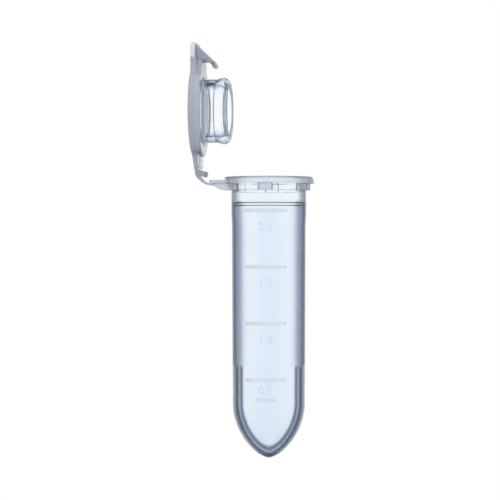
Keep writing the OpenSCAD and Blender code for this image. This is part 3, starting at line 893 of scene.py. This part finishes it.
@dataclass
class LivingHinge:
    """The leaf, the bending strap and the lid's tongue, with gusset, rails and lugs."""

    width: float = 5.4
    edge: float = 0.07
    strap_t: float = 0.25
    strap_parts: int = 24
    leaf_handle: float = 0.68
    tongue_handle: float = 0.4
    leaf_fit: float = 1.2
    leaf_step: float = 0.25
    tongue_t: float = 0.4
    tongue_rows: int = 12
    tongue_fit: int = 9
    gusset_w: float = 3.2
    foot: float = 1.0
    rail_w: float = 0.5
    rail_over: float = 0.35
    lug_w: float = 0.6
    lug_lean: float = 0.43
    lug_len: float = 0.51
    lid_r: float = 6.55
    lid_z: float = 11.46

    def __post_init__(self) -> None:
        """Reads the places of the leaf, the tongue and their neighbours."""
        low, high = corners("hinge_leaf")
        self.leaf_end, self.leaf_top = low[0], high[2]
        low, high = corners("rim_flange")
        self.flange_r, self.rib_h = high[1], low[2]
        self.root_r = corners("tube_neck")[1][1]
        low, high = corners("hinge_tongue")
        self.tongue_out, self.tongue_in, self.tongue_low = low[0], high[0], low[2]

    def strap(self) -> tuple[Array, Array]:
        """Inner and outer line of the strap, half a thickness from its middle line.

        The middle line is the cubic Bezier curve of four handles: (1-t)^3 A + 3t(1-t)^2 B
        + 3t^2(1-t) C + t^3 D, and its way is the curve's slope.

        Returns:
            Two arrays of (x, z), without the ends.
        """
        a = np.array([self.leaf_end, self.rib_h - self.strap_t / 2])
        d = np.array([self.tongue_in - self.tongue_t + self.strap_t / 2, self.tongue_low])
        b, c = a - [self.leaf_handle, 0.0], d - [0.0, self.tongue_handle]
        t = np.linspace(0.0, 1.0, self.strap_parts + 1)[1:-1, None]
        line = a * (1 - t) ** 3 + 3 * b * t * (1 - t) ** 2 + 3 * c * t ** 2 * (1 - t) + d * t ** 3
        way = (b - a) * (1 - t) ** 2 + 2 * (c - b) * t * (1 - t) + (d - c) * t ** 2
        normal = self.strap_t / 2 * unit(np.stack([way[:, 1], -way[:, 0]], -1))
        return line + normal, line - normal

    def band(self) -> Shell:
        """One band from the rim to the lid disc.

        Its inner and outer lines run along the leaf, the strap and the tongue. Each station
        carries a rounded rectangle across Y.

        Returns:
            Closed band marked 1 on the leaf, whose ends follow the rim's and disc's edges; the
            leaf takes a lighter copy of the hinge plastic, painted light.
        """
        strap_in, strap_out = self.strap()
        x0, end, low, top = -self.flange_r, self.leaf_end, self.rib_h, self.leaf_top
        root = [x0, x0 - self.leaf_fit / 2, x0 - self.leaf_fit]
        leaf_in = [[x, top] for x in root] + [
            [end + 0.16, top], [end + 0.06, top - 0.03], [end + 0.01, top - 0.12],
            [end, low + 0.06]]
        leaf_out = [[x, low] for x in root] + [
            [end + 0.5, low], [end + 0.36, low - self.leaf_step / 2 - 0.005],
            [end + 0.25, low - self.leaf_step], [end + 0.12, low - self.leaf_step]]
        z = np.linspace(self.tongue_low + 0.04, self.lid_z - self.lid_r, self.tongue_rows)
        rise = (z - z[0]) / (z[-1] - z[0])
        tongue_in = np.stack([np.full(self.tongue_rows, self.tongue_in), z], -1)
        tongue_in[0] = [self.tongue_in - 0.12, self.tongue_low - 0.02]
        start = self.tongue_in - self.tongue_t
        tongue_out = np.stack([start + (self.tongue_out - start) * rise, z], -1)
        inner = np.vstack([leaf_in, strap_in, tongue_in])
        outer = np.vstack([leaf_out, strap_out, tongue_out])
        flat = self.width / 2 - self.edge
        p = np.linspace(0.0, np.pi / 2, 4)
        s, c = self.edge * np.sin(p), self.edge * np.cos(p)
        side = np.concatenate([flat + s, flat + c])
        thick = np.concatenate([1 - self.edge + c, -(1 - self.edge) - s])
        side, thick = np.concatenate([side, -side[::-1]]), np.concatenate([thick, thick[::-1]])
        middle, reach = (inner + outer) / 2, (inner - outer) / 2
        plane = middle[:, None] + reach[:, None] * thick[None, :, None]
        x, y, level = plane[..., 0], np.broadcast_to(side, plane.shape[:2]), plane[..., 1]
        leaf = len(leaf_in)
        rim_x = -np.sqrt((self.flange_r + GAP) ** 2 - y ** 2)
        x[:leaf] += ((rim_x - x0) * np.clip(1 - (x0 - x) / self.leaf_fit, 0, 1))[:leaf]
        disc_z = self.lid_z - np.sqrt((self.lid_r + GAP) ** 2 - y ** 2)
        low_fit = z[-self.tongue_fit]
        near = np.clip((level - low_fit) / (z[-1] - low_fit), 0, 1)
        level[-self.tongue_fit:] += ((disc_z - z[-1]) * near)[-self.tongue_fit:]
        marks = (np.arange(len(x) - 1) < leaf - 1).astype(int)
        return grid_shell(np.stack([x, y, level], -1), Ends.CAP, marks)

    def gusset(self) -> Shell:
        """Web under the leaf, whose inner end follows the neck root's round."""
        top, inside = self.rib_h - GAP, 0.3 - self.root_r
        shell = across([(self.leaf_end + 0.27, top - self.leaf_step, 0.05),
                        (-self.root_r - self.foot, 0.0, 0.15), (inside, 0.0, 0.02),
                        (inside, top, 0.02), (self.leaf_end + 0.52, top, 0.04)],
                       0.0, self.gusset_w, 0.02)
        limit = -np.sqrt((self.root_r + GAP) ** 2 - shell.points[:, 1] ** 2)
        shell.points[:, 0] = np.minimum(shell.points[:, 0], limit)
        return shell

    def pair(self, points: Corners, outside: float, width: float, edge: float) -> Shell:
        """Two slabs with the same corners, whose outer faces lie at outside on either side."""
        return joined([across(points, side * (outside - width / 2), width, edge)
                       for side in (-1, 1)])

    def rails(self) -> Shell:
        """Two thin rails along the tongue's inner face."""
        low, high = corners("hinge_rails")
        x, end = self.tongue_in + GAP, high[2] + self.rail_over
        return self.pair([(x, low[2], 0.02), (high[0], low[2] + 0.1, 0.06),
                          (high[0], end, 0.02), (x, end, 0.02)], high[1], self.rail_w, 0.02)

    def lugs(self) -> Shell:
        """Two hooked lugs at the tongue's strap end."""
        high = corners("hinge_lugs")[1]
        x, z, lean = self.tongue_in + GAP, self.tongue_low, self.lug_lean
        return self.pair([(x, z, 0.05), (x + lean, z - lean, 0.08),
                          (high[0], z - lean / 2, 0.08), (high[0], z + lean, 0.08),
                          (x, z + self.lug_len, 0.05)], high[1], self.lug_w, 0.04)

    def build(self) -> None:
        """Makes the hinge pieces, and leaves the band on neither body."""
        satin = HINGE_PLASTIC.build()
        band = piece("living_hinge", self.band(), [satin, LEAF_PLASTIC.build()], None,
                     ("hinge_leaf", "hinge_strap", "hinge_tongue"),
                     TURNED_SHARP)
        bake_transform(band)
        piece("leaf_gusset", self.gusset(), [GUSSET_PLASTIC.build()], Body.TUBE,
              ("hinge_gusset",))
        piece("tongue_rails", self.rails(), [PLUG_PLASTIC.build()], Body.LID,
              ("hinge_rails",))
        piece("fold_lugs", self.lugs(), [satin], Body.LID, ("hinge_lugs",))


@dataclass
class Lid:
    """The lid, drawn closed on the tube and then opened. Sizes are in millimetres."""

    lid_r: float = 6.55
    seat_z: float = 1.96
    plate_z: float = 2.70
    top_z: float = 3.58
    plate_rounds: tuple[float, float] = (0.01, 0.22)
    neck_power: int = 24
    sleeve_r: float = 4.57
    hollow_r: float = 3.80
    straight_end: float = -0.05
    plug_end: float = -1.85
    plug_round: float = 0.1
    root_fillet: float = 0.4
    core_end_r: float = 4.25
    bead_r: float = 4.80
    bead_low_r: float = 4.42
    bead_crest: float = 0.56
    web_x: float = 7.19
    web_low: float = 1.33
    tab_x: float = 7.59
    tab_end: float = 9.74
    tab_half: float = 3.3
    tab_t: float = 0.7
    tab_corner: float = 1.1
    tab_rounds: tuple[float, float] = (0.1, 0.33)
    latch_half: float = 3.0
    latch_out: float = 9.45
    latch_slope: Corners = ((6.98, 0.29, 0.1), (6.57, 0.69, 0.1))
    barb_root: Corners = ((6.975, 0.28, 0.05), (6.565, 0.685, 0.05), (6.42, 0.54, 0.06))
    barb_tip: float = 6.15
    barb_low: float = 0.08
    barb_w: float = 3.8
    columns: int = 192

    def plan(self, reach: float, half: float) -> Array:
        """Outline of the disc with a square-ended neck towards +X.

        At angle a the neck's edge lies at the smaller of reach / cos a and half / |sin a|,
        and the disc and the neck are joined by a smooth maximum.

        Args:
            reach: How far the neck runs along X.
            half: Half of its width.

        Returns:
            Closed outline of (x, y).
        """
        near = math.atan2(half, reach) + np.array([-0.004, 0.0, 0.004])
        angle = np.sort(np.concatenate([
            np.linspace(-np.pi, np.pi, self.columns, endpoint=False), near, -near]))
        c, s = np.cos(angle), np.sin(angle)
        neck = np.minimum(reach / np.maximum(c, TINY), half / np.maximum(np.abs(s), TINY))
        neck = np.where(c > 0, neck, 0.0)
        r = (self.lid_r ** self.neck_power + neck ** self.neck_power) ** (1 / self.neck_power)
        return np.stack([r * c, r * s], -1)

    def plate(self) -> Shell:
        """Frosted plate, whose rounds fade out where the tab meets its neck."""
        outline = self.plan(self.tab_x - GAP, self.tab_half)
        hold = np.clip((self.tab_x - 0.05 - outline[:, :1]) / 0.4, 0, 1)
        return slab(outline, self.plate_z, self.top_z, self.plate_rounds, 6, hold)

    def collar(self) -> Shell:
        """Collar under the plate, with an apron to the latch, round the plug's root.

        Its section is a rectangle with rounded corners, carried between the outer outline
        and the plug's circle.

        Returns:
            Closed ring marked 1 on its side, 2 in its bore, which has a painted glow, and 0 on its
            faces.
        """
        outer = self.plan(self.web_x - GAP, self.latch_half)
        inner = unit(outer) * (self.sleeve_r + GAP)
        high = self.plate_z - GAP
        section = filleted([(0.0, self.seat_z, 0.03), (1.0, self.seat_z, 0.06),
                            (1.0, high, 0.005), (0.0, high, 0.005)], closed=True)
        share, level = section.T
        rings = inner[None] + (outer - inner)[None] * share[:, None, None]
        marks = np.zeros(len(section), int)
        for mark, rows in ((1, share > 0.98), (2, share < 0.02)):
            marks[rows & np.roll(rows, -1)] = mark
        return grid_shell(stacked(rings, level), Ends.WRAP, marks)

    def plug(self) -> Shell:
        """Hollow plug with its root fillet and sealing bead, as one closed turned wall.

        The bead rises over a quarter sine to its crest and falls over a quarter cosine.

        Returns:
            Closed wall marked 1 where the collar is round it, which has the bore's painted glow,
            and 2 on its tip, which has a lighter painted edge shade.
        """
        t = np.linspace(0.0, 1.0, 17)[:, None]
        end, crest = self.plug_end + self.plug_round, self.bead_crest
        rise = self.sleeve_r + (self.bead_r - self.sleeve_r) * np.sin(
            np.pi / 2 * np.minimum(t / crest, 1))
        fall = self.bead_low_r + (self.bead_r - self.bead_low_r) * np.cos(
            np.pi / 2 * np.maximum(t - crest, 0) / (1 - crest))
        bead = np.hstack([np.where(t < crest, rise, fall),
                          self.straight_end + (end - self.straight_end) * t])
        seat, top, line = self.seat_z, self.plate_z - GAP, self.straight_end
        wide = self.sleeve_r + self.root_fillet
        root = filleted([
            (self.hollow_r, seat + 0.04, 0.0), (self.hollow_r, top, 0.05),
            (self.sleeve_r, top, 0.03), (self.sleeve_r, seat - GAP, 0.01),
            (wide, seat - GAP, 0.01), (wide, seat - 0.03, 0.01),
            (self.sleeve_r, seat - 0.1, 0.34), (self.sleeve_r, line + 0.2, 0.05),
            (self.sleeve_r - 0.07, line + 0.06, 0.05), (self.sleeve_r, line + 0.01, 0.0)])
        tip = filleted([
            (self.bead_low_r, end - 0.01, 0.0), (self.core_end_r, end - 0.01, 0.03),
            (self.core_end_r - 0.08, self.plug_end, 0.06),
            (self.hollow_r + 0.12, self.plug_end, 0.08),
            (self.hollow_r, self.plug_end + 0.24, 0.0)])
        profile = np.vstack([[[self.hollow_r, self.plug_end + 0.25]], root, bead, tip])
        marks = np.zeros(len(profile), int)
        marks[1:int(np.sum(root[:, 1] > seat))] = 1
        marks[-len(tip) - 3:] = 2
        return lathe(profile, self.columns, Ends.WRAP, marks)

    def tab(self) -> Shell:
        """Thumb tab with rounded front corners, whose rounds grow in front of the plate."""
        x0, x1, h, corner = self.tab_x + GAP, self.tab_end, self.tab_half, self.tab_corner
        plan = filleted([(x0, -h, 0.03), (x1, -h, corner), (x1, h, corner), (x0, h, 0.03)], 8,
                        closed=True)
        share = np.clip((plan[:, :1] - x0) / 0.6, 0, 1)
        return slab(plan, self.top_z - self.tab_t, self.top_z, self.tab_rounds, 7, share)

    def wedge(self) -> Shell:
        """Latch: a wedge of web, slanted wall and cheeks, seen as one frosted body."""
        under, top = self.top_z - self.tab_t - GAP, self.plate_z - GAP
        return across([(self.web_x, top, 0.07), (self.tab_x, top, 0.07),
                       (self.tab_x, under, 0.07), (self.latch_out, under, 0.3),
                       *self.latch_slope, (self.web_x, self.web_low, 0.15)],
                      0.0, 2 * self.latch_half, 0.06)

    def hook(self) -> Shell:
        """Barb below the slanted wall, a little narrower than the latch."""
        tip, low = self.barb_tip, self.barb_low
        return across([*self.barb_root, (tip, 0.52, 0.06), (tip, 0.36, 0.08),
                       (tip + 0.26, low, 0.14), (6.66, low, 0.12)], 0.0, self.barb_w, 0.04)

    def build(self, hinge: Hinge) -> None:
        """Makes every piece of the lid, opens it about the hinge and dresses it."""
        frosted, collar, bore, plug, tip, tab, soft = (finish.build() for finish in (
            FROSTED_PLATE, COLLAR_PLASTIC, COLLAR_BORE, PLUG_PLASTIC, PLUG_TIP, TAB_PLASTIC,
            WEDGE_PLASTIC))
        for name, shell, finishes, slot, *nodes in (
                ("lid_disc", self.plate(), [frosted], Slot.FROSTED, "lid_plate"),
                ("lid_collar_ring", self.collar(), [collar, frosted, bore], Slot.SATIN,
                 "lid_collar"),
                ("sealing_plug", self.plug(), [plug, bore, tip], Slot.CLEAR, "plug_sleeve",
                 "seal_bead"),
                ("thumb_tab_plate", self.tab(), [tab], Slot.CLEAR, "thumb_tab"),
                ("latch_wedge", self.wedge(), [soft], Slot.SATIN, "latch_web", "latch_wall",
                 "latch_cheeks"),
                ("latch_hook", self.hook(), [soft], Slot.SATIN, "latch_barb")):
            piece(name, hinge.opened(shell), finishes, Body.LID, tuple(nodes),
                  TURNED_SHARP if name == "sealing_plug" else SHARP)


@dataclass
class Studio:
    """White studio: even light all round, a pale floor well below, and the camera."""

    azimuth: float = 5.8
    distance: float = 345.1
    aim_side: float = -2.703
    aim_z: float = -8.555
    lens: float = 172.8
    floor_z: float = -150.0
    floor_r: float = 260.0
    lamp_place: tuple[float, float, float] = (-40.0, -80.0, 420.0)
    lamp_size: float = 300.0
    lamp_power: float = 0.5
    sky: Stops = ((0.0, 0xDEE2E8), (0.42, 0xF3F6FA), (0.5, WHITE), (0.62, 0xF8FAFC),
                  (1.0, 0xF0F3F7))

    def world(self) -> None:
        """White to the camera, and a soft gradient to everything else.

        The gradient is full overhead and falls a little below, as over a pale floor.
        """
        world = bpy.data.worlds.new("studio")
        bpy.context.scene.world = world
        nodes = Nodes(world)
        light = nodes.tree.nodes["Background"]
        height = nodes.span(nodes.height("Generated"), 0.0, 1.0, -1.0, 1.0)
        nodes.link(nodes.ramp(height, self.sky), light.inputs["Color"])
        plain = nodes.add("Background")
        plain.inputs["Color"].default_value = linear(WHITE)
        mix = nodes.add("MixShader")
        nodes.link(nodes.add("LightPath").outputs["Is Camera Ray"], mix.inputs["Fac"])
        nodes.link(light.outputs["Background"], mix.inputs[1])
        nodes.link(plain.outputs["Background"], mix.inputs[2])
        nodes.link(mix.outputs["Shader"], nodes.tree.nodes["World Output"].inputs["Surface"])

    def floor(self) -> None:
        """Pale round floor, a flat disc with a softly turned-down edge."""
        profile = np.array([[0.0, 0.0], [self.floor_r - 4, 0.0], [self.floor_r, -1.0],
                            [self.floor_r, -3.0], [0.0, -3.0]])
        profile[:, 1] += self.floor_z
        nodes = Nodes(bpy.data.materials.new("pale floor"))
        shader = nodes.tree.nodes["Principled BSDF"]
        nodes.link(nodes.ramp(nodes.noise(30.0), ((0.0, 0xF0F1F3), (1.0, 0xF6F7F9))),
                   shader.inputs["Base Color"])
        shader.inputs["Roughness"].default_value = 0.9
        drawn("floor", lathe(profile, 96, Ends.POLE), [nodes.owner])

    def lamp(self) -> None:
        """A square soft lamp above, which faces the middle of the tube."""
        data = bpy.data.lights.new("top", "AREA")
        data.shape, data.size, data.energy = "SQUARE", self.lamp_size * MM, self.lamp_power
        lamp = bpy.data.objects.new("top", data)
        lamp.location = [value * MM for value in self.lamp_place]
        x, y, z = (-value for value in self.lamp_place)
        z += self.aim_z
        lamp.rotation_euler = (math.atan2(math.hypot(x, y), -z), 0.0, math.atan2(-x, y))
        bpy.context.scene.collection.objects.link(lamp)

    def camera(self) -> None:
        """Camera level with the tube, a little round towards the latch side."""
        a = math.radians(self.azimuth)
        side, ahead = np.array([math.cos(a), math.sin(a)]), np.array([math.sin(a), -math.cos(a)])
        x, y = self.aim_side * side + self.distance * ahead
        data = bpy.data.cameras.new("camera")
        data.lens, data.sensor_width = self.lens, 36.0
        data.clip_start, data.clip_end = 0.01, 10.0
        camera = bpy.data.objects.new("camera", data)
        camera.location = [float(value) * MM for value in (x, y, self.aim_z)]
        camera.rotation_euler = (math.pi / 2, 0.0, a)
        bpy.context.scene.collection.objects.link(camera)
        bpy.context.scene.camera = camera

    def build(self) -> None:
        """Sets the world, floor, lamp, camera and plain colour view."""
        self.world()
        self.floor()
        self.lamp()
        self.camera()
        bpy.context.scene.view_settings.view_transform = "Standard"


def main() -> None:
    """Builds the studio, the tube, the hinge and the lid."""
    logging.basicConfig(level=logging.INFO, format="%(name)s %(message)s")
    Studio().build()
    TubeBody().build()
    LivingHinge().build()
    Lid().build(Hinge())


if __name__ == "__main__":
    main()
